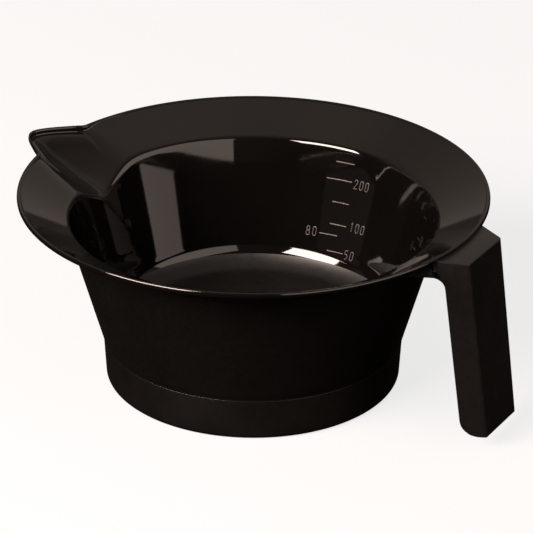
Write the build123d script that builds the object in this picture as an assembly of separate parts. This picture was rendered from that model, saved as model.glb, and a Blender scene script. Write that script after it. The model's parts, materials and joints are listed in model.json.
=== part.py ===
from build123d import *
import math
import os

# ---------------------------------------------------------------- dimensions (mm)
# Frame: origin under the middle of the overall box, in the plane the bowl stands on,
# +Z up. The handle is on +X, the pouring spout on -X, the graduation on +Y.
# Everything is drawn round the bowl axis and moved by AXIS_X when it is written.
AXIS_X = -2.10          # the bowl axis lies here in the part's frame

RIM_R = 70.0            # outer radius of the flange lip
LIP_TOP = 60.45         # height of the top of the lip
LIP_BOTTOM = 58.90      # height of the underside of the lip
FLANGE_IN_R = 56.05     # flange top line passes through this radius ...
FLANGE_IN_Z = 53.16     # ... at this height
WALL_SLOPE = 0.2814     # radius gained per mm of height, inside and outside
WALL_IN_R = 55.12       # inner wall radius at FLANGE_IN_Z
WALL_OUT_R = 56.52      # outer wall radius at FLANGE_IN_Z
UNDER_R = 56.30         # flange underside meets the outer wall here
UNDER_Z = 51.80
EDGE_FILLET = 2.2       # rounding between flange and inner wall
UNDER_FILLET = 1.5      # fillet between the outer wall and the flange underside

KINK_Z = 12.93          # lower end of the conical wall, top of the foot band
FLOOR_EDGE_Z = 16.20    # inner wall ends here
FLOOR_DISC_R = 39.20    # radius of the flat floor disc
FLOOR_Z = 13.58         # height of the flat floor disc
FLOOR_T = 1.45          # floor thickness
COVE_FILLET = 10.0       # between wall and sloping floor edge
DISC_FILLET = 6.0       # between sloping floor edge and the flat disc

SPIGOT_OUT_R = 43.60    # spigot that carries the foot ring
SPIGOT_IN_R = 42.30
SPIGOT_Z = 2.00         # lower end of the spigot

RING_TOP_R = 45.20      # outside of the foot band at the kink
RING_LOW_R = 44.50      # outside of the foot band near the ground
RING_IN_R = 41.20       # inner radius of the ring's lower lip
RING_ROUND = 1.4

SPOUT_FALL = 0.4825     # slope of the spout valley along its length
SPOUT_APEX = 86.84      # distance at which the unrounded valley meets the lip plane
SPOUT_SIDE = 0.6823     # slope of the two spout flanks across its length, 65 mm out
SPOUT_GROW = 0.0077     # gain of that slope per mm further out
SPOUT_RHO = 1.85        # rounding of the valley
SPOUT_T = 1.50          # vertical thickness of the spout plate
NOSE_U = 86.20          # plan outline of the spout: u = NOSE_U - NOSE_EDGE * hypot(s, NOSE_R)
NOSE_EDGE = 1.30
NOSE_R = 4.80
NOSE_LIP = 1.05         # width of the lip along the edge of the spout
LIP_MID = 60.0

HANDLE_TOP_X = 76.64    # outer top edge of the handle
HANDLE_TOP_Z = 58.63
HANDLE_TOP_HALF = 10.35
HANDLE_BOT_X = 84.26    # outer bottom edge
HANDLE_BOT_Z = 4.45
HANDLE_BOT_HALF = 9.44
HANDLE_FLARE = 0.46     # half width gained per mm towards the bowl
HANDLE_DEPTH = 6.90     # radial depth of the leg
HANDLE_WALL = 1.80
ARM_UNDER_Z = 54.00     # underside of the arm at the leg
ARM_RISE = 0.085        # rise of that underside per mm towards the bowl
ARM_IN_X = 58.00        # the arm runs this far in under the flange
TOP_RISE = 0.085        # the top plate rises this much per mm towards the bowl

MARK_T = 0.22           # height of the raised strokes
MARK_W = 0.40           # width of the raised strokes

os.makedirs("parts", exist_ok=True)


def wall_in(z):
    return WALL_IN_R - WALL_SLOPE * (FLANGE_IN_Z - z)


def wall_out(z):
    return WALL_OUT_R - WALL_SLOPE * (FLANGE_IN_Z - z)


def arc_corner(prev, cor, nxt, rad):
    """Two tangent points and the mid point of a rounding of a profile corner."""
    v1 = (prev[0] - cor[0], prev[1] - cor[1])
    v2 = (nxt[0] - cor[0], nxt[1] - cor[1])
    l1, l2 = math.hypot(*v1), math.hypot(*v2)
    v1, v2 = (v1[0] / l1, v1[1] / l1), (v2[0] / l2, v2[1] / l2)
    half = math.acos(max(-1.0, min(1.0, v1[0] * v2[0] + v1[1] * v2[1]))) / 2
    t = rad / math.tan(half)
    a = (cor[0] + v1[0] * t, cor[1] + v1[1] * t)
    b = (cor[0] + v2[0] * t, cor[1] + v2[1] * t)
    bis = (v1[0] + v2[0], v1[1] + v2[1])
    lb = math.hypot(*bis)
    h = rad / math.sin(half) - rad
    m = (cor[0] + bis[0] / lb * h, cor[1] + bis[1] / lb * h)
    return a, m, b


def profile_face(points):
    """Closed face in the XZ plane. points: (x, z, corner radius)."""
    n = len(points)
    edges = []
    segs = []
    for i in range(n):
        p, c, q = points[i - 1], points[i], points[(i + 1) % n]
        if c[2] > 0:
            segs.append(arc_corner(p[:2], c[:2], q[:2], c[2]))
        else:
            segs.append((c[:2], None, c[:2]))

    def v(p):
        return Vector(p[0], 0, p[1])
    for i in range(n):
        a, m, b = segs[i]
        if m is not None:
            edges.append(Edge.make_three_point_arc(v(a), v(m), v(b)))
        nxt = segs[(i + 1) % n][0]
        if math.hypot(nxt[0] - b[0], nxt[1] - b[1]) > 1e-6:
            edges.append(Edge.make_line(v(b), v(nxt)))
    return Face(Wire(edges))


def turned(points):
    return revolve(profile_face(points), Axis.Z, 360)


# ---------------------------------------------------------------- bowl shell
slope_top = (LIP_TOP - FLANGE_IN_Z) / (RIM_R - FLANGE_IN_R)
slope_under = (LIP_BOTTOM - UNDER_Z) / (RIM_R - UNDER_R)
corner_r = (WALL_IN_R - WALL_SLOPE * slope_top * FLANGE_IN_R) / (1 - WALL_SLOPE * slope_top)
corner_z = FLANGE_IN_Z - slope_top * (FLANGE_IN_R - corner_r)
floor_edge_r = wall_in(FLOOR_EDGE_Z)
under_z = FLOOR_Z - FLOOR_T
slope_floor = (FLOOR_EDGE_Z - FLOOR_Z) / (floor_edge_r - FLOOR_DISC_R)
drop_floor = FLOOR_T * math.hypot(1, slope_floor)


def floor_under(r):
    return FLOOR_Z + slope_floor * (r - FLOOR_DISC_R) - drop_floor


under_r = FLOOR_DISC_R + (under_z + drop_floor - FLOOR_Z) / slope_floor

shell = turned([
    (0, FLOOR_Z, 0),
    (FLOOR_DISC_R, FLOOR_Z, DISC_FILLET),
    (floor_edge_r, FLOOR_EDGE_Z, COVE_FILLET),
    (corner_r, corner_z, EDGE_FILLET),
    (RIM_R, LIP_TOP, 0.35),
    (RIM_R, LIP_BOTTOM, 0.35),
    (UNDER_R, UNDER_Z, UNDER_FILLET),
    (wall_out(KINK_Z), KINK_Z, 0),
    (SPIGOT_OUT_R, KINK_Z, 0),
    (SPIGOT_OUT_R, SPIGOT_Z, 0),
    (SPIGOT_IN_R, SPIGOT_Z, 0),
    (SPIGOT_IN_R, floor_under(SPIGOT_IN_R), 0),
    (under_r, under_z, 0),
    (0, under_z, 0),
])


# Spout: a V-shaped plate that falls towards the bowl, let into the flange.
def spout_z(u, s):
    """Height of the spout surface u mm out from the axis and s mm beside the valley."""
    side = SPOUT_SIDE + SPOUT_GROW * (u - 65.0)
    return LIP_MID - SPOUT_FALL * (SPOUT_APEX - u) + side * math.hypot(s, SPOUT_RHO)


def vee_section(u, lower, upper, s_max):
    n = 24
    ss = [s_max * (2 * i / n - 1) * abs(2 * i / n - 1) ** 0.5 for i in range(n + 1)]

    def pt(s, off):
        return Vector(-u, s, spout_z(u, s) + off)
    top = Edge.make_spline([pt(s, upper) for s in ss])
    bot = Edge.make_spline([pt(s, lower) for s in ss])
    side_a = Edge.make_line(pt(ss[0], lower), pt(ss[0], upper))
    side_b = Edge.make_line(pt(ss[-1], lower), pt(ss[-1], upper))
    return Wire([top, side_b, bot, side_a])


def vee_solid(lower, upper, s_max=30.0, u0=40.0, u1=95.0):
    """Solid between two vertical offsets of the spout surface."""
    return Solid.make_loft([vee_section(u0, lower, upper, s_max), vee_section(u1, lower, upper, s_max)], True)


# everything above the spout surface is removed from the bowl ...
shell = shell - vee_solid(0.0, 45.0)

# ... and the plate itself is kept where it lies outside the inner wall
plate = vee_solid(-SPOUT_T, 0.0)
lip_cut = Pos(-60, 0, LIP_TOP - 0.05 + 20) * Box(120, 160, 40)
plate = plate - lip_cut
inside = turned([
    (0, -5, 0),
    (wall_in(-5), -5, 0),
    (corner_r, corner_z, 0),
    (RIM_R - 0.6, LIP_TOP - slope_top * 0.6, 0),
    (RIM_R - 0.6, 80, 0),
    (0, 80, 0),
])
# the plate exists only below the flange top line inside the rim circle
plate = plate - inside
# ... and inside the rounded nose, where a narrow lip stands on its edge


def nose_prism(inset, low=30.0, high=LIP_TOP - 0.05):
    pts = []
    for i in range(25):
        side = 20.0 * (i / 12 - 1)
        slope = NOSE_EDGE * side / math.hypot(side, NOSE_R)
        run = math.hypot(1, slope)
        pts.append(Vector(-(NOSE_U - NOSE_EDGE * math.hypot(side, NOSE_R) - inset / run),
                          side - inset * slope / run, low))
    half = pts[-1].Y
    line = [Edge.make_spline(pts), Edge.make_line(pts[-1], Vector(-40, half, low)),
            Edge.make_line(Vector(-40, half, low), Vector(-40, -half, low)),
            Edge.make_line(Vector(-40, -half, low), pts[0])]
    return Solid.extrude(Face(Wire(line)), Vector(0, 0, high - low))


plate = plate & nose_prism(0.0)
lip = (nose_prism(0.0) - nose_prism(NOSE_LIP, 25.0, 70.0)) & vee_solid(-SPOUT_T, 20.0)
lip = lip - inside
shell = shell + plate + lip
shell = shell.solids().sort_by(SortBy.VOLUME)[-1]

# ---------------------------------------------------------------- foot ring
ring = turned([
    (RING_IN_R, 0, 0.5),
    (RING_LOW_R, 0, RING_ROUND),
    (RING_TOP_R, KINK_Z, 0),
    (SPIGOT_OUT_R, KINK_Z, 0),
    (SPIGOT_OUT_R, SPIGOT_Z, 0),
    (RING_IN_R, SPIGOT_Z, 0),
])

# ---------------------------------------------------------------- handle
lean = (HANDLE_BOT_X - HANDLE_TOP_X) / (HANDLE_TOP_Z - HANDLE_BOT_Z)


def x_out(z):
    return HANDLE_TOP_X + lean * (HANDLE_TOP_Z - z)


def z_top(x):
    return HANDLE_TOP_Z + TOP_RISE * (HANDLE_TOP_X - x)


def bar(points, half):
    """Side profile in the XZ plane, thick on both sides of the mid plane."""
    face = profile_face(points)
    return Solid.extrude(face, Vector(0, half, 0)) + Solid.extrude(face, Vector(0, -half, 0))


def side_plane(sign, inset):
    """Flank plane of the handle, moved inwards by inset."""
    p = Vector(HANDLE_TOP_X, sign * HANDLE_TOP_HALF, HANDLE_TOP_Z)
    q = Vector(HANDLE_BOT_X, sign * HANDLE_BOT_HALF, HANDLE_BOT_Z)
    d1 = (q - p).normalized()
    d2 = Vector(-1, sign * HANDLE_FLARE, 0).normalized()
    n = d1.cross(d2).normalized()
    if n.Y * sign < 0:
        n = n * -1
    return Plane(origin=p - n * inset, z_dir=n)


def between_flanks(solid, inset):
    for sign in (1, -1):
        solid = split(solid, bisect_by=side_plane(sign, inset), keep=Keep.BOTTOM)
    return solid


outer = bar([
    (HANDLE_TOP_X, HANDLE_TOP_Z, 0.5),
    (HANDLE_BOT_X, HANDLE_BOT_Z, 0.6),
    (HANDLE_BOT_X - HANDLE_DEPTH, HANDLE_BOT_Z, 5.8),
    (x_out(ARM_UNDER_Z) - HANDLE_DEPTH, ARM_UNDER_Z, 3.8),
    (ARM_IN_X, ARM_UNDER_Z + ARM_RISE * (x_out(ARM_UNDER_Z) - HANDLE_DEPTH - ARM_IN_X), 0),
    (ARM_IN_X, z_top(ARM_IN_X), 0),
], 30)
outer = between_flanks(outer, 0)
pocket = bar([
    (x_out(HANDLE_TOP_Z - HANDLE_WALL) - HANDLE_WALL, HANDLE_TOP_Z - HANDLE_WALL, 0.8),
    (x_out(HANDLE_BOT_Z + HANDLE_WALL) - HANDLE_WALL, HANDLE_BOT_Z + HANDLE_WALL, 0.8),
    (x_out(HANDLE_BOT_Z) - 14, HANDLE_BOT_Z + HANDLE_WALL, 0),
    (x_out(HANDLE_BOT_Z) - 14, 40, 0),
    (ARM_IN_X - 5, 40, 0),
    (ARM_IN_X - 5, z_top(ARM_IN_X) - HANDLE_WALL, 0),
], 30)
pocket = between_flanks(pocket, HANDLE_WALL)
handle = outer - pocket
# the arm ends against the underside of the flange
over = turned([
    (0, UNDER_Z, 0),
    (UNDER_R, UNDER_Z, 0),
    (RIM_R, LIP_BOTTOM, 0),
    (RIM_R, 75, 0),
    (0, 75, 0),
])
handle = handle - over
handle = handle.solids().sort_by(SortBy.VOLUME)[-1]

# ---------------------------------------------------------------- graduation
# A thin conical skin on the inner wall; the strokes are cut out of it.
skin = turned([
    (wall_in(20), 20, 0),
    (wall_in(50), 50, 0),
    (wall_in(50) - MARK_T, 50, 0),
    (wall_in(20) - MARK_T, 20, 0),
])


def spot(az, z):
    """Point and directions on the inner wall: along the wall to the right, and up."""
    a = math.radians(az)
    r = wall_in(z)
    o = Vector(r * math.cos(a), r * math.sin(a), z)
    right = Vector(math.sin(a), -math.cos(a), 0)
    up = Vector(WALL_SLOPE * math.cos(a), WALL_SLOPE * math.sin(a), 1).normalized()
    return o, right, up


def stroke(az, z, x0, y0, x1, y1, w=MARK_W):
    """Straight stroke between two points given in mm on the wall around (az, z)."""
    o, right, up = spot(az, z)
    n = right.cross(up).normalized()
    mx, my = (x0 + x1) / 2, (y0 + y1) / 2
    ln = math.hypot(x1 - x0, y1 - y0) + w
    d = (right * (x1 - x0) + up * (y1 - y0)).normalized()
    c = o + right * mx + up * my
    pl = Plane(origin=c, x_dir=d, z_dir=n)
    return pl * Box(ln, w, 6)


# (azimuth of the left end, azimuth of the right end, height)
LINES = [
    (91.6, 84.9, 48.00),
    (94.4, 84.8, 42.55),
    (91.0, 84.3, 35.75),
    (90.7, 83.8, 28.95),
    (94.5, 87.0, 25.40),
    (90.3, 83.2, 20.60),
]
TILT = 0.052            # the marks slope a little, lower at the left


def line_mark(a0, a1, z):
    am = (a0 + a1) / 2
    half = math.radians(a0 - a1) / 2 * wall_in(z)
    return skin & stroke(am, z, -half, -half * TILT, half, half * TILT)


lines = []
for a0, a1, z in LINES:
    lines += list(line_mark(a0, a1, z).solids())

# strokes of the numerals in a cell 1.0 wide and 1.0 tall
SEG = {
    "0": [(0.15, 0, 0.85, 0), (0.15, 1, 0.85, 1), (0, 0.10, 0, 0.90), (1, 0.10, 1, 0.90)],
    "1": [(0.55, 0, 0.55, 1), (0.15, 0.78, 0.55, 1)],
    "2": [(0, 0, 1, 0), (0, 0, 0.95, 0.62), (1, 0.60, 1, 0.90), (0.15, 1, 0.85, 1), (0, 0.76, 0, 0.90)],
    "5": [(0, 1, 0.95, 1), (0, 0.58, 0, 1), (0, 0.58, 0.85, 0.58), (1, 0.10, 1, 0.48), (0.05, 0, 0.85, 0)],
    "8": [(0.15, 0, 0.85, 0), (0.15, 0.53, 0.85, 0.53), (0.15, 1, 0.85, 1), (0, 0.10, 0, 0.44),
          (0, 0.62, 0, 0.90), (1, 0.10, 1, 0.44), (1, 0.62, 1, 0.90)],
}
DIGIT_H = 2.65
DIGIT_W = 1.10
DIGIT_PITCH = 2.15


def number(text, az, z):
    """Numeral whose left edge is at azimuth az, centred on height z."""
    out = []
    r = wall_in(z)
    for i, ch in enumerate(text):
        a = az - math.degrees(i * DIGIT_PITCH / r)
        body = None
        for x0, y0, x1, y1 in SEG[ch]:
            s = skin & stroke(a, z, x0 * DIGIT_W, (y0 - 0.5) * DIGIT_H, x1 * DIGIT_W, (y1 - 0.5) * DIGIT_H, 0.36)
            body = s if body is None else body + s
        out += list(body.solids())
    return out


NUMBERS = [("200", 83.5, 42.5), ("100", 82.0, 29.5), ("80", 99.9, 25.3), ("50", 82.2, 20.75 + 0.9)]
numbers = []
for text, az, z in NUMBERS:
    numbers += number(text, az, z)

# ---------------------------------------------------------------- write
def placed(body):
    return body.moved(Location((AXIS_X, 0, 0)))


export_step(placed(shell), "parts/bowl_shell.step")
export_step(placed(handle), "parts/handle.step")
export_step(placed(ring.solids()[0]), "parts/foot_ring.step")
export_step(Compound(children=[placed(x) for x in lines]), "parts/scale_lines.step")
export_step(Compound(children=[placed(x) for x in numbers]), "parts/scale_numbers.step")
print("shell", round(shell.volume), "handle", round(handle.volume), "ring", round(ring.volume),
      "lines", len(lines), "numbers", len(numbers))
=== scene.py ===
import bpy
import json
import math
import numpy as np
from mathutils import Vector, Matrix

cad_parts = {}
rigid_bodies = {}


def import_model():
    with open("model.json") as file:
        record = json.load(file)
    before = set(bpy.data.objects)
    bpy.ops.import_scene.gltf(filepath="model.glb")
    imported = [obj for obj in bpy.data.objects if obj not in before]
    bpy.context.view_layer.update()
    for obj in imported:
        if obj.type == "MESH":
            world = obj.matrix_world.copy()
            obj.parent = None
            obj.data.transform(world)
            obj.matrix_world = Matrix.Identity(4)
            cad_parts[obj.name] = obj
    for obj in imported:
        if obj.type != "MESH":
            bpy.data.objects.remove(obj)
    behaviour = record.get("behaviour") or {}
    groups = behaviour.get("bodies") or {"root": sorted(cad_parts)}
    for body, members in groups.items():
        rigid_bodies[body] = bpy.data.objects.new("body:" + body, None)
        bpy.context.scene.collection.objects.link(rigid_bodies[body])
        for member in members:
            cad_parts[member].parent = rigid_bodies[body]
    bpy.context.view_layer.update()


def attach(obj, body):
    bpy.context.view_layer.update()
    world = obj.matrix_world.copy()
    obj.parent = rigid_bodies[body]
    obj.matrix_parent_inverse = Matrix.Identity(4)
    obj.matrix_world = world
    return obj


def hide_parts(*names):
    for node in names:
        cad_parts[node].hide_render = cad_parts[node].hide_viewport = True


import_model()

MM = 0.001

# ------------------------------------------------------------------ bowl dimensions (mm), as in the CAD
AXIS_X = -2.10           # the bowl axis lies here in the part frame, in mm
RIM_R, LIP_TOP, LIP_BOTTOM = 70.0, 60.45, 58.90
FLANGE_IN_R, FLANGE_IN_Z = 56.05, 53.16
SLOPE = 0.2814
WALL_IN_R, WALL_OUT_R = 55.12, 56.52
UNDER_R, UNDER_Z = 56.30, 51.80
KINK_Z = 12.93
FLOOR_EDGE_Z, FLOOR_DISC_R, FLOOR_Z, FLOOR_T = 16.20, 39.20, 13.58, 1.45
SPIGOT_OUT_R, SPIGOT_IN_R, SPIGOT_Z = 43.60, 42.30, 2.00
RING_TOP_R, RING_LOW_R, RING_IN_R = 45.20, 44.50, 41.20
LIP_MID = 60.0

S_TOP = 0.5380
S_UND = (LIP_BOTTOM - UNDER_Z) / (RIM_R - UNDER_R)
FLOOR_EDGE_R = WALL_IN_R - SLOPE * (FLANGE_IN_Z - FLOOR_EDGE_Z)
S_FLOOR = (FLOOR_EDGE_Z - FLOOR_Z) / (FLOOR_EDGE_R - FLOOR_DISC_R)


def wall_in(z):
    return WALL_IN_R - SLOPE * (FLANGE_IN_Z - z)


def wall_out(z):
    return WALL_OUT_R - SLOPE * (FLANGE_IN_Z - z)


def mesh_object(name, verts, faces, mats=None, mat_ids=None, smooth=True):
    me = bpy.data.meshes.new(name)
    me.from_pydata([tuple(v) for v in verts], [], [tuple(int(i) for i in f) for f in faces])
    me.validate()
    me.update()
    ob = bpy.data.objects.new(name, me)
    bpy.context.scene.collection.objects.link(ob)
    for m in mats or []:
        me.materials.append(m)
    if mat_ids is not None:
        me.polygons.foreach_set("material_index", np.asarray(mat_ids, dtype=np.int32))
    me.polygons.foreach_set("use_smooth", np.full(len(me.polygons), smooth))
    me.update()
    return ob


COVE = 10.0

# ------------------------------------------------------------------ profile helpers
def arc_pts(p, c, q, rad, n):
    """Points of a circular rounding of corner c between p and q, tangent points included."""
    p, c, q = map(np.array, (p, c, q))
    v1 = (p - c) / np.linalg.norm(p - c)
    v2 = (q - c) / np.linalg.norm(q - c)
    half = math.acos(max(-1, min(1, float(v1 @ v2)))) / 2
    t = rad / math.tan(half)
    a, b = c + v1 * t, c + v2 * t
    bis = (v1 + v2) / np.linalg.norm(v1 + v2)
    o = c + bis * (rad / math.sin(half))
    a0 = math.atan2(*(a - o)[::-1])
    a1 = math.atan2(*(b - o)[::-1])
    d = (a1 - a0 + math.pi) % (2 * math.pi) - math.pi
    return [o + rad * np.array([math.cos(a0 + d * i / n), math.sin(a0 + d * i / n)]) for i in range(n + 1)]


def lin(a, b, n):
    """n points from a towards b, without the ends."""
    a, b = np.array(a), np.array(b)
    return [a + (b - a) * (i + 1) / (n + 1) for i in range(n)]


def bez(a, c, b, n):
    a, c, b = map(np.array, (a, c, b))
    return [a * (1 - t) ** 2 + 2 * c * t * (1 - t) + b * t * t for t in (i / n for i in range(n + 1))]


# ------------------------------------------------------------------ spout surface
RIDGE_SOFT = 2.2
SP_FALL, SP_APEX, SP_SIDE, SP_GROW, SP_RHO = 0.4825, 86.84, 0.6823, 0.0077, 1.85
SP_NOSE, SP_EDGE, SP_TIP_R = 86.2, 1.30, 4.80      # plan outline of the lip
SP_TROUGH = 58.75                                   # level of the surface along the foot of the lip
SP_T = 1.35


def vee(u, s):
    """Spout surface: a V whose flanks steepen a little towards the tip."""
    side = SP_SIDE + SP_GROW * (np.maximum(u, 50.0) - 65.0)
    rho = SP_RHO + 1.5 * step((64.0 - u) / 10.0)
    return LIP_MID - SP_FALL * (SP_APEX - u) + side * np.sqrt(s * s + rho ** 2)


def smin(a, b, h):
    return 0.5 * (a + b - np.sqrt((a - b) ** 2 + h * h))


def step(x):
    x = max(0.0, min(1.0, x))
    return x * x * (3 - 2 * x)


def lip_radius(psi):
    """Outline of the rim: a circle with the rounded nose of the spout on it."""
    if abs(psi) > math.radians(32):
        return RIM_R
    cs, sn = math.cos(psi), abs(math.sin(psi))
    a, b = 20.0, 90.0
    for _ in range(50):
        m = (a + b) / 2
        if m * cs < SP_NOSE - SP_EDGE * math.sqrt((m * sn) ** 2 + SP_TIP_R ** 2):
            a = m
        else:
            b = m
    h, x = 1.1, a - RIM_R
    if x <= -h:
        return RIM_R
    return RIM_R + ((x + h) ** 2 / (4 * h) if x < h else x)


def spout_amount(psi):
    return step((lip_radius(psi) - RIM_R - 0.25) / 1.3)


def spout_level(r, psi, rl, amt):
    far = min(abs(psi), math.radians(60))
    u, s = r * math.cos(far), r * math.sin(far)
    z = vee(u, s)
    if amt > 0:
        d = max(0.0, rl - 1.0 - r) * 0.8
        w = amt * math.exp(-(d / 3.4) ** 2)
        z = (1 - w) * z + w * SP_TROUGH
    return z


def top_z(r, psi, rl, amt):
    """Upper surface of flange and spout at radius r."""
    fl = FLANGE_IN_Z + S_TOP * (r - FLANGE_IN_R)
    return smin(fl, spout_level(r, psi, rl, amt), RIDGE_SOFT)


def und_z(r, psi, rl, amt):
    fl = UNDER_Z + S_UND * (r - UNDER_R)
    z = smin(fl, spout_level(r, psi, rl, amt) - SP_T, 1.2)
    if amt > 0:
        w = amt * math.exp(-((rl - r) / 0.75) ** 2)
        z = (1 - w) * z + w * 59.05
    return z


def solve(f, a, b):
    fa = f(a)
    for _ in range(60):
        m = (a + b) / 2
        if (f(m) > 0) == (fa > 0):
            a = m
        else:
            b = m
    return (a + b) / 2


def section(psi):
    """Closed section of the shell from the axis above the floor to the axis below it, with region marks."""
    rl = lip_radius(psi)
    amt = spout_amount(psi)
    pts, reg = [], []

    def add(ps, region):
        for p in ps:
            pts.append((float(p[0]), float(p[1])))
            reg.append(region)
    # floor
    disc = arc_pts((0, FLOOR_Z), (FLOOR_DISC_R, FLOOR_Z), (FLOOR_EDGE_R, FLOOR_EDGE_Z), 6.0, 10)
    cove = arc_pts((FLOOR_DISC_R, FLOOR_Z), (FLOOR_EDGE_R, FLOOR_EDGE_Z), (wall_in(40), 40), COVE, 24)
    add([(0.0, FLOOR_Z)], "floor")
    add(lin((0, FLOOR_Z), disc[0], 14), "floor")
    add(disc, "floor")
    add(lin(disc[-1], cove[0], 3), "floor")
    add(cove[:14], "floor")
    add(cove[14:], "wall")
    # wall up to the junction with flange or spout
    rj = solve(lambda r: (FLANGE_IN_Z - (WALL_IN_R - r) / SLOPE) - top_z(r, psi, rl, amt), 45.5, 58.0)
    zj = FLANGE_IN_Z - (WALL_IN_R - rj) / SLOPE
    soft = step((math.radians(40) - abs(psi)) / math.radians(22))
    t = 1.05 + 0.55 * soft
    wl = math.hypot(SLOPE, 1)
    a = (rj - t * SLOPE / wl, zj - t / wl)
    rb = rj + 0.88 * t
    b = (rb, top_z(rb, psi, rl, amt))
    add(lin(cove[-1], a, 26), "wall")
    add(bez(a, (rj, zj), b, 12), "wall")
    # flange or spout channel out to the lip
    lip_in = 1.30 - 0.25 * amt           # width of the rounded edge of the lip
    re = rl - lip_in
    n = 46
    for i in range(n):
        x = (i + 1) / n
        x = 1 - (1 - x) ** 1.5
        r = rb + (re - 0.25 - rb) * x
        add([(r, top_z(r, psi, rl, amt))], "flange")
    # foot and inner face of the lip, then its rounded crest and outer edge
    zf = top_z(re - 0.20, psi, rl, amt)
    z_line = FLANGE_IN_Z + S_TOP * (re - FLANGE_IN_R) if amt < 0.5 else 60.05
    z_line = (FLANGE_IN_Z + S_TOP * (RIM_R - lip_in - FLANGE_IN_R)) * (1 - amt) + 60.05 * amt
    z_line = max(z_line, zf + 0.02)
    rise = max(0.0, z_line - zf)
    cut = min(0.45, 0.45 * rise)
    p0 = (re - 0.20, zf)
    p1 = (re - 0.06, zf + min(0.05, rise * 0.4))
    p2 = (re + 0.02, zf + cut)
    p3 = (re + 0.10, z_line - 0.30 * min(1.0, rise))
    p4 = (re + 0.14 + 0.10 * amt, z_line)
    add([p0, p1, p2], "lip")
    add(lin(p2, p3, 2), "lip")
    add([p3, p4], "lip")
    c0 = (rl - 0.14, z_line + 0.86)
    add(bez(p4, c0, (rl, 59.40), 12)[1:], "lip")
    zb = min(und_z(rl, psi, rl, amt), 59.2)
    zb = max(zb, LIP_BOTTOM)
    add(lin((rl, 59.40), (rl - 0.01, zb + 0.22), 1), "lip")
    add(bez((rl - 0.01, zb + 0.22), (rl - 0.02, zb), (rl - 0.26, und_z(rl - 0.26, psi, rl, amt)), 5), "lip")
    # underside back to the outer wall
    rk = solve(lambda r: (FLANGE_IN_Z - (WALL_OUT_R - r) / SLOPE) - und_z(r, psi, rl, amt), 46.5, 60.0)
    zk = FLANGE_IN_Z - (WALL_OUT_R - rk) / SLOPE
    rc = rk + 1.15
    n = 36
    for i in range(n):
        x = (i + 1) / n
        r = (rl - 0.26) + (rc - (rl - 0.26)) * x
        add([(r, und_z(r, psi, rl, amt))], "outside")
    d = (rk - 1.3 * SLOPE / wl, zk - 1.3 / wl)
    add(bez(pts[-1], (rk, zk), d, 7)[1:], "outside")
    band = (RING_TOP_R - RING_LOW_R) / (KINK_Z - 1.4)
    kz = KINK_Z + 0.62
    e = (wall_out(kz + 0.62), kz + 0.62)
    add(lin(d, e, 24), "outside")
    add(bez(e, (RING_TOP_R + band * 0.62, kz), (RING_TOP_R, KINK_Z + 0.10), 8), "outside")
    add([(RING_TOP_R, KINK_Z + 0.02)], "outside")
    add([(RING_TOP_R - 0.03, KINK_Z)], "outside")
    # shoulder, spigot and underside of the floor
    drop = FLOOR_T * math.hypot(1, S_FLOOR)
    uz = FLOOR_Z - FLOOR_T
    ur = FLOOR_DISC_R + (uz + drop - FLOOR_Z) / S_FLOOR
    fu = FLOOR_Z + S_FLOOR * (SPIGOT_IN_R - FLOOR_DISC_R) - drop
    add([(SPIGOT_OUT_R + 0.2, KINK_Z), (SPIGOT_OUT_R, KINK_Z - 0.15)], "outside")
    add(lin((SPIGOT_OUT_R, KINK_Z - 0.15), (SPIGOT_OUT_R, SPIGOT_Z + 0.2), 3), "outside")
    add(bez((SPIGOT_OUT_R, SPIGOT_Z + 0.2), (SPIGOT_OUT_R, SPIGOT_Z), (SPIGOT_OUT_R - 0.2, SPIGOT_Z), 3), "outside")
    add(bez((SPIGOT_IN_R + 0.2, SPIGOT_Z), (SPIGOT_IN_R, SPIGOT_Z), (SPIGOT_IN_R, SPIGOT_Z + 0.2), 3), "outside")
    add(lin((SPIGOT_IN_R, SPIGOT_Z + 0.2), (SPIGOT_IN_R, fu - 0.5), 5), "outside")
    add(bez((SPIGOT_IN_R, fu - 0.5), (SPIGOT_IN_R, fu), (SPIGOT_IN_R - 0.5, fu - 0.5 * S_FLOOR), 4), "outside")
    add(lin((SPIGOT_IN_R - 0.5, fu - 0.5 * S_FLOOR), (ur + 0.6, uz + 0.6 * S_FLOOR), 2), "outside")
    add(bez((ur + 0.6, uz + 0.6 * S_FLOOR), (ur, uz), (ur - 0.7, uz), 5), "outside")
    add(lin((ur - 0.7, uz), (0, uz), 10), "outside")
    add([(0.0, uz)], "outside")
    return pts, reg


def build_shell():
    az = []
    a = -180.0
    while a < 180.0 - 1e-6:
        az.append(a)
        m = abs(a)
        a += 0.25 if m < 18 - 1e-6 else (0.5 if m < 26 - 1e-6 else 1.0)
    secs = [section(math.radians(p)) for p in az]
    n = len(secs[0][0])
    assert all(len(s[0]) == n for s in secs)
    reg = secs[0][1]
    verts, faces, ids = [], [], []
    order = {"floor": 1, "wall": 0, "flange": 2, "lip": 2, "outside": 3}
    verts.append((0.0, 0.0, secs[0][0][0][1] * MM))
    verts.append((0.0, 0.0, secs[0][0][-1][1] * MM))
    m = n - 2
    for p, (pts, _) in zip(az, secs):
        phi = math.radians(p + 180.0)
        c, s = math.cos(phi), math.sin(phi)
        for (r, z) in pts[1:-1]:
            verts.append((r * c * MM, r * s * MM, z * MM))
    k = len(az)

    def vid(col, row):
        return 2 + (col % k) * m + row
    for col in range(k):
        faces.append((0, vid(col, 0), vid(col + 1, 0)))
        ids.append(order["floor"])
        for row in range(m - 1):
            faces.append((vid(col, row), vid(col, row + 1), vid(col + 1, row + 1), vid(col + 1, row)))
            ids.append(order[reg[row + 2]])
        faces.append((1, vid(col + 1, m - 1), vid(col, m - 1)))
        ids.append(order["outside"])
    return verts, faces, ids


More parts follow.
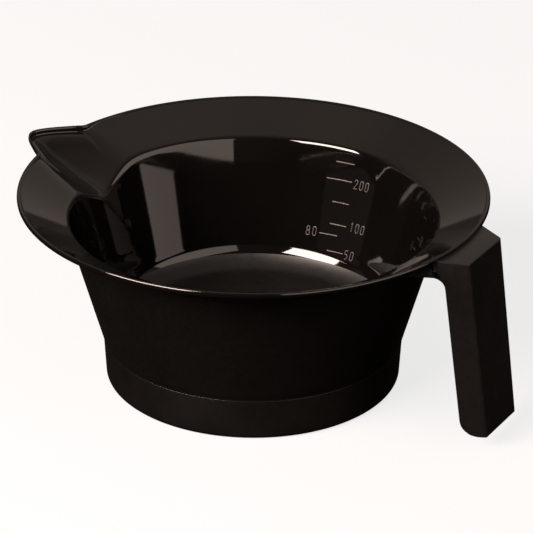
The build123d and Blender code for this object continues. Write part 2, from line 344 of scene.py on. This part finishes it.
# ------------------------------------------------------------------ materials
def new_mat(name):
    m = bpy.data.materials.new(name)
    m.use_nodes = True
    nt = m.node_tree
    bsdf = nt.nodes["Principled BSDF"]
    return m, nt, bsdf


def noise(nt, scale, detail=3.0, rough=0.5, coord="Object", vec=None, distortion=0.0):
    n = nt.nodes.new("ShaderNodeTexNoise")
    n.inputs["Scale"].default_value = scale
    n.inputs["Detail"].default_value = detail
    n.inputs["Roughness"].default_value = rough
    n.inputs["Distortion"].default_value = distortion
    if vec is None:
        tc = nt.nodes.new("ShaderNodeTexCoord")
        nt.links.new(tc.outputs[coord], n.inputs["Vector"])
    else:
        nt.links.new(vec, n.inputs["Vector"])
    return n


def ramp(nt, fac, stops):
    r = nt.nodes.new("ShaderNodeValToRGB")
    cr = r.color_ramp
    while len(cr.elements) < len(stops):
        cr.elements.new(0.5)
    for e, (p, c) in zip(cr.elements, stops):
        e.position = p
        e.color = (c[0], c[1], c[2], 1) if isinstance(c, (tuple, list)) else (c, c, c, 1)
    nt.links.new(fac, r.inputs["Fac"])
    return r


def maprange(nt, val, a, b, lo, hi):
    r = nt.nodes.new("ShaderNodeMapRange")
    nt.links.new(val, r.inputs["Value"])
    r.inputs["From Min"].default_value = a
    r.inputs["From Max"].default_value = b
    r.inputs["To Min"].default_value = lo
    r.inputs["To Max"].default_value = hi
    return r


def math_node(nt, op, a, b):
    m = nt.nodes.new("ShaderNodeMath")
    m.operation = op
    for i, v in enumerate((a, b)):
        if isinstance(v, (int, float)):
            m.inputs[i].default_value = v
        else:
            nt.links.new(v, m.inputs[i])
    return m


def bump(nt, bsdf, height, strength, distance):
    b = nt.nodes.new("ShaderNodeBump")
    b.inputs["Strength"].default_value = strength
    b.inputs["Distance"].default_value = distance
    nt.links.new(height, b.inputs["Height"])
    nt.links.new(b.outputs["Normal"], bsdf.inputs["Normal"])
    return b


def plastic(name, dark, light, rough_lo, rough_hi, grain, grain_scale, wave=0.0, spec=0.5, smudge=26.0):
    """Near-black moulded plastic: colour mottling, uneven polish, moulding grain and a faint long wave."""
    m, nt, bsdf = new_mat(name)
    mott = noise(nt, smudge, 4.0, 0.55)
    col = ramp(nt, mott.outputs["Fac"], [(0.32, dark), (0.70, light)])
    nt.links.new(col.outputs["Color"], bsdf.inputs["Base Color"])
    sm = noise(nt, smudge * 2.3, 5.0, 0.6)
    fine = noise(nt, grain_scale * 0.35, 2.0, 0.5)
    mix = math_node(nt, "ADD", sm.outputs["Fac"], fine.outputs["Fac"])
    rr = maprange(nt, mix.outputs[0], 0.7, 1.3, rough_lo, rough_hi)
    nt.links.new(rr.outputs["Result"], bsdf.inputs["Roughness"])
    g = noise(nt, grain_scale, 3.0, 0.6)
    if wave > 0:
        w = noise(nt, 230.0, 2.0, 0.4)
        ws = math_node(nt, "MULTIPLY", w.outputs["Fac"], wave)
        h = math_node(nt, "ADD", g.outputs["Fac"], ws.outputs[0])
        height = h.outputs[0]
    else:
        height = g.outputs["Fac"]
    bump(nt, bsdf, height, 1.0, grain)
    bsdf.inputs["Specular IOR Level"].default_value = spec
    bsdf.inputs["IOR"].default_value = 1.5
    return m


M_WALL = plastic("bowl_polished_inside", (0.0016, 0.00135, 0.0012), (0.0023, 0.0019, 0.0017), 0.030, 0.060, 0.0000006, 900.0, wave=3.0)
M_FLOOR = plastic("bowl_satin_floor", (0.0018, 0.0015, 0.0014), (0.0026, 0.0022, 0.0020), 0.40, 0.50, 0.0000030, 1500.0)
M_FLANGE = plastic("bowl_satin_flange", (0.0020, 0.0017, 0.0015), (0.0028, 0.0024, 0.0021), 0.050, 0.085, 0.0000010, 1400.0)
M_OUT = plastic("bowl_satin_outside", (0.0023, 0.0019, 0.0017), (0.0033, 0.0027, 0.0024), 0.30, 0.38, 0.0000080, 1900.0)
M_HANDLE = plastic("handle_satin", (0.0042, 0.0036, 0.0033), (0.0056, 0.0049, 0.0046), 0.30, 0.38, 0.0000100, 1700.0)

# ------------------------------------------------------------------ shell
v, f, ids = build_shell()
shell = mesh_object("bowl_shell_skin", v, f, [M_WALL, M_FLOOR, M_FLANGE, M_OUT], ids)
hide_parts("bowl_shell")
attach(shell, "root")

# ------------------------------------------------------------------ foot ring
def lathe(name, prof, segs, mats):
    verts, faces = [], []
    n = len(prof)
    for i in range(segs):
        a = 2 * math.pi * i / segs
        for r, z in prof:
            verts.append((r * math.cos(a) * MM, r * math.sin(a) * MM, z * MM))
    for i in range(segs):
        j = (i + 1) % segs
        for k in range(n):
            l = (k + 1) % n
            faces.append((i * n + k, j * n + k, j * n + l, i * n + l))
    return mesh_object(name, verts, faces, mats)


def foot_band():
    m, nt, bsdf = new_mat("foot_scuffed_plastic")
    mott = noise(nt, 34.0, 4.0, 0.6)
    col = ramp(nt, mott.outputs["Fac"], [(0.30, (0.0020, 0.0016, 0.0014)), (0.72, (0.0030, 0.0025, 0.0022))])
    tc = nt.nodes.new("ShaderNodeTexCoord")
    sep = nt.nodes.new("ShaderNodeSeparateXYZ")
    nt.links.new(tc.outputs["Object"], sep.inputs["Vector"])
    mp = nt.nodes.new("ShaderNodeMapping")
    mp.inputs["Scale"].default_value = (1.0, 1.0, 2.6)
    nt.links.new(tc.outputs["Object"], mp.inputs["Vector"])
    scr = noise(nt, 420.0, 6.0, 0.72, vec=mp.outputs["Vector"], distortion=1.6)
    patch = noise(nt, 62.0, 2.0, 0.5)
    near_top = maprange(nt, sep.outputs["Z"], 0.0085, 0.0125, 0.0, 1.0)
    pm = maprange(nt, patch.outputs["Fac"], 0.50, 0.66, 0.0, 1.0)
    sm = maprange(nt, scr.outputs["Fac"], 0.60, 0.70, 0.0, 1.0)
    amt = math_node(nt, "MULTIPLY", pm.outputs["Result"], sm.outputs["Result"])
    top2 = math_node(nt, "ADD", math_node(nt, "MULTIPLY", near_top.outputs["Result"], 0.75).outputs[0], 0.25)
    amt2 = math_node(nt, "MULTIPLY", amt.outputs[0], top2.outputs[0])
    mix = nt.nodes.new("ShaderNodeMixRGB")
    nt.links.new(amt2.outputs[0], mix.inputs["Fac"])
    nt.links.new(col.outputs["Color"], mix.inputs["Color1"])
    mix.inputs["Color2"].default_value = (0.014, 0.012, 0.011, 1)
    nt.links.new(mix.outputs["Color"], bsdf.inputs["Base Color"])
    sm2 = noise(nt, 70.0, 5.0, 0.6)
    rr = maprange(nt, sm2.outputs["Fac"], 0.3, 0.7, 0.34, 0.42)
    nt.links.new(rr.outputs["Result"], bsdf.inputs["Roughness"])
    g = noise(nt, 1700.0, 3.0, 0.6)
    h = math_node(nt, "ADD", g.outputs["Fac"], math_node(nt, "MULTIPLY", amt2.outputs[0], 1.5).outputs[0])
    bump(nt, bsdf, h.outputs[0], 1.0, 0.000014)
    return m


M_FOOT = foot_band()
prof = []
prof += arc_pts((RING_IN_R, 1.0), (RING_IN_R, 0.0), (RING_LOW_R, 0.0), 0.5, 5)
prof += lin((RING_IN_R + 0.5, 0), (RING_LOW_R - 1.4, 0), 1)
prof += arc_pts((RING_IN_R, 0.0), (RING_LOW_R, 0.0), (RING_TOP_R, KINK_Z), 1.4, 10)
prof += lin(prof[-1], (RING_TOP_R, KINK_Z - 0.10), 10)
prof += [(RING_TOP_R, KINK_Z - 0.10), (RING_TOP_R, KINK_Z - 0.02), (RING_TOP_R - 0.03, KINK_Z), (44.2, KINK_Z), (SPIGOT_OUT_R + 0.1, KINK_Z), (SPIGOT_OUT_R, KINK_Z - 0.1)]
prof += lin((SPIGOT_OUT_R, KINK_Z - 0.1), (SPIGOT_OUT_R, SPIGOT_Z), 3)
prof += [(SPIGOT_OUT_R, SPIGOT_Z), (42.4, SPIGOT_Z), (RING_IN_R + 0.2, SPIGOT_Z), (RING_IN_R, SPIGOT_Z - 0.2)]
ring = lathe("foot_ring_skin", [(float(a), float(b)) for a, b in prof], 360, [M_FOOT])
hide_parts("foot_ring")
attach(ring, "root")

# ------------------------------------------------------------------ handle
H_TOP_X, H_TOP_Z, H_TOP_HALF = 76.64, 58.63, 10.35
H_BOT_X, H_BOT_Z, H_BOT_HALF = 84.26, 4.45, 9.44
H_FLARE, H_DEPTH, H_WALL = 0.46, 6.90, 1.80
ARM_Z, TOP_RISE = 54.0, 0.085
LEAN = (H_BOT_X - H_TOP_X) / (H_TOP_Z - H_BOT_Z)


def x_out(z):
    return H_TOP_X + LEAN * (H_TOP_Z - z)


def z_top(x):
    return H_TOP_Z + TOP_RISE * (H_TOP_X - x)


_p = Vector((H_TOP_X, H_TOP_HALF, H_TOP_Z))
_q = Vector((H_BOT_X, H_BOT_HALF, H_BOT_Z))
_n = (_q - _p).cross(Vector((-1, H_FLARE, 0))).normalized()
if _n.y < 0:
    _n = -_n


def flank(x, z, inset=0.0):
    """Half width of the handle at (x, z)."""
    return _p.y - (_n.x * (x - _p.x) + _n.z * (z - _p.z) + inset) / _n.y


def mid_flange(r):
    """Height of a surface inside the thickness of the flange."""
    return UNDER_Z + S_UND * (r - UNDER_R) + 0.45


def build_handle():
    import bmesh
    A, B = (H_TOP_X, H_TOP_Z), (H_BOT_X, H_BOT_Z)
    C = (H_BOT_X - H_DEPTH, H_BOT_Z)
    D = (x_out(ARM_Z) - H_DEPTH, ARM_Z)
    rc = arc_pts(B, C, D, 5.8, 14)
    rd = arc_pts(C, D, (50.0, ARM_Z), 3.8, 10)
    # where the arm meets the flange
    T = None
    x = H_TOP_X
    while True:
        if mid_flange(math.hypot(x, flank(x, z_top(x)))) < z_top(x):
            break
        x -= 0.02
    T = (x, z_top(x))
    xe = x
    while mid_flange(math.hypot(xe, flank(xe, ARM_Z))) > ARM_Z:
        xe -= 0.02
    E = (xe, ARM_Z)
    slope_pts = []
    for i in range(1, 8):
        xx = T[0] + (E[0] - T[0]) * i / 8
        zz = T[1]
        for _ in range(20):
            zz = mid_flange(math.hypot(xx, flank(xx, zz)))
        slope_pts.append((xx, min(zz, z_top(xx))))
    A2 = (x_out(H_TOP_Z - H_WALL) - H_WALL, H_TOP_Z - H_WALL)
    B2 = (x_out(H_BOT_Z + H_WALL) - H_WALL, H_BOT_Z + H_WALL)
    za = arc_pts((40, z_top(40) - H_WALL), A2, B2, 0.8, 3)
    zb = arc_pts(A2, B2, (0, B2[1]), 0.8, 3)
    # the pocket floor meets the rounded corner here
    k = next(i for i, p in enumerate(rc) if p[1] > B2[1])
    f = (B2[1] - rc[k - 1][1]) / (rc[k][1] - rc[k - 1][1])
    C2 = tuple(rc[k - 1] + (rc[k] - rc[k - 1]) * f)
    T2x = T[0] - 0.2
    T2 = (T2x, z_top(T2x) - H_WALL)
    front = [T, A, B] + [tuple(p) for p in rc[:k]] + [C2]                # closed side, full width
    rear = [C2] + [tuple(p) for p in rc[k:]] + [tuple(p) for p in rd] + [E]   # open side
    pocket = [C2] + [tuple(p) for p in reversed(zb)] + [tuple(p) for p in reversed(za)] + [T2]
    bm = bmesh.new()
    cache = {}

    def V(p, side, inset):
        key = (round(p[0], 4), round(p[1], 4), side, inset)
        if key not in cache:
            y = flank(p[0], p[1], inset) * side
            cache[key] = bm.verts.new((p[0] * MM, y * MM, p[1] * MM))
        return cache[key]
    for i in range(len(front) - 1):
        a, b = front[i], front[i + 1]
        bm.faces.new([V(a, 1, 0), V(b, 1, 0), V(b, -1, 0), V(a, -1, 0)])
    for i in range(len(pocket) - 1):
        a, b = pocket[i], pocket[i + 1]
        bm.faces.new([V(a, 1, H_WALL), V(b, 1, H_WALL), V(b, -1, H_WALL), V(a, -1, H_WALL)])
    for sd in (1, -1):
        for i in range(len(rear) - 1):
            a, b = rear[i], rear[i + 1]
            bm.faces.new([V(a, sd, 0), V(b, sd, 0), V(b, sd, H_WALL), V(a, sd, H_WALL)])
        # triangle between strip ends at C2
        outer_poly = front + rear[1:] + list(reversed(slope_pts))
        bm.faces.new([V(p, sd, 0) for p in outer_poly])
        inner_poly = pocket + [T] + slope_pts + list(reversed(rear[1:]))
        bm.faces.new([V(p, sd, H_WALL) for p in inner_poly])
        edge = [T] + slope_pts + [E]
        for i in range(len(edge) - 1):
            a, b = edge[i], edge[i + 1]
            bm.faces.new([V(a, sd, 0), V(b, sd, 0), V(b, sd, H_WALL), V(a, sd, H_WALL)])
    bm.faces.new([V(C2, 1, 0), V(C2, 1, H_WALL), V(C2, -1, H_WALL), V(C2, -1, 0)])
    bm.faces.new([V(T, 1, 0), V(T, 1, H_WALL), V(T2, 1, H_WALL), V(T2, -1, H_WALL), V(T, -1, H_WALL), V(T, -1, 0)])
    bmesh.ops.recalc_face_normals(bm, faces=bm.faces[:])

    def on(e, pts, side=None, inset=0):
        ok = {id(V(p, s, inset)) for p in pts for s in ((1, -1) if side is None else (side,))}
        return all(id(v) in ok for v in e.verts)
    lay = bm.edges.layers.float.new("bevel_weight_edge")
    for e in bm.edges:
        if len(e.link_faces) != 2 or e.calc_face_angle(0) < math.radians(24):
            continue
        same_side = e.verts[0].co.y * e.verts[1].co.y > 0
        if on(e, [A, B]) and same_side:
            e[lay] = 1.0
        elif on(e, slope_pts + [T, E]) or on(e, slope_pts + [T, E, T2], None, H_WALL):
            continue
        else:
            e[lay] = 0.42
    bmesh.ops.triangulate(bm, faces=[f for f in bm.faces if len(f.verts) > 8])
    return bm


def handle_object():
    bm = build_handle()
    me = bpy.data.meshes.new("handle_grip")
    bm.to_mesh(me)
    bm.free()
    me.materials.append(M_HANDLE)
    me.polygons.foreach_set("use_smooth", np.full(len(me.polygons), True))
    ob = bpy.data.objects.new("handle_grip", me)
    bpy.context.scene.collection.objects.link(ob)
    bv = ob.modifiers.new("rounded_edges", "BEVEL")
    bv.limit_method = "WEIGHT"
    bv.width = 0.90 * MM
    bv.segments = 4
    bv.use_clamp_overlap = False
    bv.harden_normals = False
    wn = ob.modifiers.new("weighted", "WEIGHTED_NORMAL")
    wn.weight = 100
    wn.mode = "FACE_AREA"
    wn.use_face_influence = False
    wn.keep_sharp = True
    return ob


handle = handle_object()
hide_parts("handle")
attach(handle, "root")

# ------------------------------------------------------------------ graduation
def painted_highlight_scale_material():
    m, nt, bsdf = new_mat("scale_strokes_painted_highlight")
    n = noise(nt, 160.0, 3.0, 0.6)
    # painted highlight: the raised strokes are moulded in the bowl's own near-black plastic; this light grey stands in
    # for the light their relief catches
    col = ramp(nt, n.outputs["Fac"], [(0.30, (0.055, 0.050, 0.047)), (0.70, (0.085, 0.079, 0.074))])
    nt.links.new(col.outputs["Color"], bsdf.inputs["Base Color"])
    rr = maprange(nt, noise(nt, 500.0, 2.0).outputs["Fac"], 0.3, 0.7, 0.26, 0.38)
    nt.links.new(rr.outputs["Result"], bsdf.inputs["Roughness"])
    bump(nt, bsdf, noise(nt, 1500.0, 2.0).outputs["Fac"], 1.0, 0.000006)
    return m


M_SCALE_PAINTED_HIGHLIGHT = painted_highlight_scale_material()
MARK_T = 0.22


def wall_pt(az, z, right, up, lift):
    """Point on the inner wall, offset in the wall by right and up (mm) and lifted off it."""
    wl = math.hypot(SLOPE, 1)
    zz = z + up / wl
    r = wall_in(zz)
    a = math.radians(az) - right / r
    nr, nz = -1 / wl, SLOPE / wl
    rr = r + nr * lift
    return (rr * math.cos(a) * MM, rr * math.sin(a) * MM, (zz + nz * lift) * MM)


def ridge(az, z, path, width, closed, height=MARK_T, taper=1.0):
    """Half-round raised stroke along a path given in mm in the wall."""
    pts = [np.array(p, float) for p in path]
    n = len(pts)
    verts, faces = [], []
    prof = [(-0.5, -0.10), (-0.46, 0.42), (-0.28, 0.86), (0.0, 1.0), (0.28, 0.86), (0.46, 0.42), (0.5, -0.10)]
    m = len(prof)
    for i in range(n):
        if closed:
            d = pts[(i + 1) % n] - pts[i - 1]
        else:
            d = pts[min(i + 1, n - 1)] - pts[max(i - 1, 0)]
        d = d / (np.linalg.norm(d) + 1e-12)
        nn = np.array([-d[1], d[0]])
        for (a, h) in prof:
            q = pts[i] + nn * a * width
            verts.append(wall_pt(az, z, q[0], q[1], h * height))
    rng = range(n) if closed else range(n - 1)
    for i in rng:
        j = (i + 1) % n
        for k in range(m - 1):
            faces.append((i * m + k, i * m + k + 1, j * m + k + 1, j * m + k))
        faces.append((i * m + m - 1, i * m, j * m, j * m + m - 1))
    if not closed:
        for e, sgn in ((0, -1), (n - 1, 1)):
            # rounded end
            d = (pts[1] - pts[0]) if e == 0 else (pts[-1] - pts[-2])
            d = d / np.linalg.norm(d) * sgn
            nn = np.array([-d[1], d[0]]) * (1 if sgn > 0 else -1)
            base = [e * m + k for k in range(m)]
            prev = base
            for step, (out, shr) in enumerate(((0.26, 0.86), (0.42, 0.5))):
                row = []
                for (a, h) in prof:
                    q = pts[e] + nn * a * width * shr + d * out * width
                    row.append(len(verts))
                    hh = h if h < 0 else h * (0.88 if step == 0 else 0.5)
                    verts.append(wall_pt(az, z, q[0], q[1], hh * height))
                for k in range(m - 1):
                    faces.append((prev[k], prev[k + 1], row[k + 1], row[k]))
                faces.append((prev[m - 1], prev[0], row[0], row[m - 1]))
                prev = row
            faces.append(tuple(prev))
    return verts, faces


def joined(name, parts, mat):
    verts, faces = [], []
    for v, f in parts:
        o = len(verts)
        verts += v
        faces += [tuple(i + o for i in ff) for ff in f]
    ob = mesh_object(name, verts, faces, [mat])
    import bmesh
    bm = bmesh.new()
    bm.from_mesh(ob.data)
    bmesh.ops.recalc_face_normals(bm, faces=bm.faces[:])
    bm.to_mesh(ob.data)
    bm.free()
    return ob


LINES = [
    (91.6, 84.9, 48.00),
    (94.4, 84.8, 42.55),
    (91.0, 84.3, 35.75),
    (90.7, 83.8, 28.95),
    (94.5, 87.0, 25.40),
    (90.3, 83.2, 20.60),
]
TILT = math.radians(-3.0)


def tilted(path, cx=0.0):
    c, s = math.cos(TILT), math.sin(TILT)
    return [(cx + (x - cx) * c - y * s, (x - cx) * s * -1 + y * c) for x, y in path]


parts = []
for a0, a1, z in LINES:
    am = (a0 + a1) / 2
    half = math.radians(a0 - a1) / 2 * wall_in(z)
    parts.append(ridge(am, z, tilted([(x, 0.0) for x in np.linspace(-half, half, 12)]), 0.36, False))
lines = joined("scale_lines_raised", parts, M_SCALE_PAINTED_HIGHLIGHT)
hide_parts("scale_lines")
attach(lines, "root")


def ell(cx, cy, rx, ry, a0, a1, n):
    return [(cx + rx * math.cos(math.radians(a0 + (a1 - a0) * i / n)), cy + ry * math.sin(math.radians(a0 + (a1 - a0) * i / n))) for i in range(n + 1)]


def stadium(x0, x1, y0, y1, n=9):
    """Closed narrow oval used for the zero and the rings of the eight."""
    w = (x1 - x0) / 2
    cx = (x0 + x1) / 2
    ry = min(w * 1.15, (y1 - y0) / 2)
    top = ell(cx, y1 - ry, w, ry, 0, 180, n)
    bot = ell(cx, y0 + ry, w, ry, 180, 360, n)
    return top + bot


def digit(ch, w, h):
    """Strokes of a condensed numeral in a cell from (0, -h/2) to (w, h/2): [(path, closed)]."""
    t, b = h / 2, -h / 2
    if ch == "0":
        return [(stadium(0, w, b, t), True)]
    if ch == "8":
        return [(stadium(w * 0.06, w * 0.94, h * 0.04, t), True), (stadium(0, w, b, h * 0.04), True)]
    if ch == "1":
        return [([(w * 0.22, t - h * 0.20), (w * 0.42, t - h * 0.11), (w * 0.60, t)], False),
                ([(w * 0.60, t), (w * 0.60, h * 0.2), (w * 0.60, -h * 0.2), (w * 0.60, b)], False)]
    if ch == "2":
        up = ell(w * 0.5, t - w * 0.58, w * 0.5, w * 0.58, 172, 0, 10)
        dn = [(w * 0.97, t - h * 0.27), (w * 0.86, t - h * 0.42), (w * 0.55, t - h * 0.62), (w * 0.22, b + h * 0.17), (w * 0.02, b)]
        return [(up + dn, False), ([(w * 0.02, b), (w * 0.5, b), (w, b)], False)]
    if ch == "5":
        bowl = ell(w * 0.48, b + h * 0.29, w * 0.52, h * 0.29, 108, -118, 14)
        return [([(w * 0.92, t), (w * 0.5, t), (w * 0.12, t)], False),
                ([(w * 0.12, t), (w * 0.08, t - h * 0.2), (w * 0.04, h * 0.04)], False),
                ([(w * 0.04, h * 0.04), (w * 0.16, h * 0.072)] + bowl, False)]
    return []


DIG_H, DIG_W, DIG_PITCH = 2.85, 1.10, 2.15
NUMBERS = [("200", 83.5, 42.5), ("100", 82.0, 29.5), ("80", 99.9, 25.3), ("50", 82.2, 20.75)]
parts = []
for text, az, z in NUMBERS:
    for i, ch in enumerate(text):
        for path, closed in digit(ch, DIG_W, DIG_H):
            path = tilted([(x + i * DIG_PITCH, y) for x, y in path])
            parts.append(ridge(az, z, path, 0.30, closed, MARK_T * 0.8))
numbers = joined("scale_numbers_raised", parts, M_SCALE_PAINTED_HIGHLIGHT)
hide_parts("scale_numbers")
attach(numbers, "root")

# ------------------------------------------------------------------ camera
PART_AZ = 30.6          # the camera frame is turned by this about the bowl axis
CAM_D, CAM_EL, CAM_TX, CAM_TZ, CAM_F, CAM_ROLL = 12.3364, 24.7603, 0.05646, -0.36741, 2916.90, 0.394
_e = math.radians(CAM_EL)
_C = Vector((0, -CAM_D * math.cos(_e), CAM_D * math.sin(_e)))
_T = Vector((CAM_TX, 0, CAM_TZ))
_f = (_T - _C).normalized()
_r = _f.cross(Vector((0, 0, 1))).normalized()
_u = _r.cross(_f)
_a = math.radians(CAM_ROLL)
_r2 = _r * math.cos(_a) + _u * math.sin(_a)
_u2 = -_r * math.sin(_a) + _u * math.cos(_a)
rot = Matrix.Rotation(math.radians(PART_AZ), 3, "Z")
right, up, back = rot @ _r2, rot @ _u2, rot @ (-_f)
pos = rot @ (_C * RIM_R * MM) + Vector((0, 0, LIP_MID * MM))
cam_data = bpy.data.cameras.new("camera")
cam_data.sensor_width = 36.0
cam_data.lens = CAM_F / 533.0 * 36.0
cam_data.clip_start = 0.05
cam_data.clip_end = 50.0
cam = bpy.data.objects.new("camera", cam_data)
cam.matrix_world = Matrix(((right.x, up.x, back.x, pos.x), (right.y, up.y, back.y, pos.y), (right.z, up.z, back.z, pos.z), (0, 0, 0, 1)))
bpy.context.scene.collection.objects.link(cam)
bpy.context.scene.camera = cam


def in_cam_frame(x, y, z):
    """Point given in metres in the frame where the camera stands on -Y, origin on the floor."""
    return rot @ Vector((x, y, z))


# ------------------------------------------------------------------ floor, backdrop and light
WARM = (1.0, 0.82, 0.72)


def slab(name, mat, size, z):
    """A gently subdivided sheet, used for what the bowl stands on."""
    n = 12
    vs = [(size * (2 * i / n - 1), size * (2 * j / n - 1), z) for j in range(n + 1) for i in range(n + 1)]
    fs = [(j * (n + 1) + i, j * (n + 1) + i + 1, (j + 1) * (n + 1) + i + 1, (j + 1) * (n + 1) + i) for j in range(n) for i in range(n)]
    ob = mesh_object(name, vs, fs, [mat])
    return ob


def pale_floor():
    m, nt, bsdf = new_mat("pale_floor")
    n = noise(nt, 2.0, 4.0, 0.5)
    col = ramp(nt, n.outputs["Fac"], [(0.3, (0.115, 0.115, 0.118)), (0.7, (0.125, 0.125, 0.128))])
    nt.links.new(col.outputs["Color"], bsdf.inputs["Base Color"])
    bsdf.inputs["Roughness"].default_value = 0.9
    bsdf.inputs["Specular IOR Level"].default_value = 0.0
    bsdf.inputs["Emission Color"].default_value = (1.0, 1.0, 1.0, 1.0)
    bsdf.inputs["Emission Strength"].default_value = 0.78
    ob = slab("floor", m, 7.0, -0.0001)
    ob.visible_glossy = False
    ob.visible_diffuse = False
    return ob


def dark_table():
    """What the polished surfaces mirror below the horizon; the camera never sees it."""
    m, nt, bsdf = new_mat("table_dark")
    n = noise(nt, 2.0, 3.0, 0.5)
    col = ramp(nt, n.outputs["Fac"], [(0.3, (0.012, 0.0105, 0.010)), (0.7, (0.018, 0.016, 0.015))])
    nt.links.new(col.outputs["Color"], bsdf.inputs["Base Color"])
    bsdf.inputs["Roughness"].default_value = 0.9
    bsdf.inputs["Specular IOR Level"].default_value = 0.0
    ob = slab("table_under_floor", m, 7.0, -0.0004)
    ob.visible_camera = False
    ob.visible_shadow = False
    return ob


pale_floor()
dark_table()

world = bpy.data.worlds.new("studio")
bpy.context.scene.world = world
world.use_nodes = True
wnt = world.node_tree
bg = wnt.nodes["Background"]
tcw = wnt.nodes.new("ShaderNodeTexCoord")
mpw = wnt.nodes.new("ShaderNodeMapping")
mpw.vector_type = "VECTOR"
mpw.inputs["Rotation"].default_value = (0, 0, -math.radians(PART_AZ))
wnt.links.new(tcw.outputs["Generated"], mpw.inputs["Vector"])
spw = wnt.nodes.new("ShaderNodeSeparateXYZ")
wnt.links.new(mpw.outputs["Vector"], spw.inputs["Vector"])
# lighter behind the bowl and overhead, dark behind the camera
rear = maprange(wnt, spw.outputs["Y"], -0.25, 0.35, 0.05, 0.27)
rear.interpolation_type = "SMOOTHSTEP"
over = maprange(wnt, spw.outputs["Z"], 0.72, 1.0, 0.0, 0.16)
over.interpolation_type = "SMOOTHSTEP"
side = maprange(wnt, spw.outputs["X"], -0.6, 0.6, -0.045, 0.045)
sm = math_node(wnt, "ADD", rear.outputs["Result"], over.outputs["Result"])
sm2 = math_node(wnt, "ADD", sm.outputs[0], side.outputs["Result"])
low = maprange(wnt, spw.outputs["Z"], 0.118, 0.126, 0.22, 1.0)
low.interpolation_type = "SMOOTHSTEP"
sm3 = math_node(wnt, "MULTIPLY", math_node(wnt, "MAXIMUM", sm2.outputs[0], 0.03).outputs[0], low.outputs["Result"])
wnt.links.new(sm3.outputs[0], bg.inputs["Strength"])
bg.inputs["Color"].default_value = (WARM[0] * 1.17, WARM[1] * 1.17, WARM[2] * 1.17, 1)


def panel(name, az, el, dist, width, height, radiance, upright=False, roll=0.0):
    """Soft box seen from the bowl at azimuth az and elevation el, in degrees in the camera frame."""
    a, e = math.radians(az), math.radians(el)
    o = Vector((0, 0, 0.045))
    p = o + Vector((math.cos(a) * math.cos(e), math.sin(a) * math.cos(e), math.sin(e))) * dist
    ld = bpy.data.lights.new(name, "AREA")
    ld.shape = "RECTANGLE"
    ld.size, ld.size_y = width, height
    ld.energy = radiance * width * height * LIGHT_UNIT
    ld.color = WARM
    ob = bpy.data.objects.new(name, ld)
    t = Vector((o.x, o.y, p.z)) if upright else o
    pw, tw = rot @ p, rot @ t
    z = (pw - tw).normalized()
    x = Vector((0, 0, 1)).cross(z).normalized()
    y = z.cross(x)
    ob.matrix_world = Matrix(((x.x, y.x, z.x, pw.x), (x.y, y.y, z.y, pw.y), (x.z, y.z, z.z, pw.z), (0, 0, 0, 1)))
    bpy.context.scene.collection.objects.link(ob)
    ob.visible_camera = False
    return ob


LIGHT_UNIT = 4.0
panel("softbox_left", -141.0, 32.0, 1.30, 0.90, 0.553, 26.0)
panel("panel_right", -41.0, 27.8, 1.291, 1.66, 1.08, 1.55, upright=True)

bpy.context.scene.view_settings.view_transform = "Standard"

# everything above is drawn round the bowl axis; the part's frame has the axis at AXIS_X
AXIS = Vector((AXIS_X * MM, 0, 0))
for piece in (shell, ring, handle, lines, numbers):
    piece.data.transform(Matrix.Translation(AXIS) @ Matrix.Diagonal((0.9995, 0.9995, 1.0, 1.0)))
for ob in bpy.context.scene.objects:
    if ob.type in {"CAMERA", "LIGHT"}:
        m = ob.matrix_world.copy()
        m.translation += AXIS
        ob.matrix_world = m
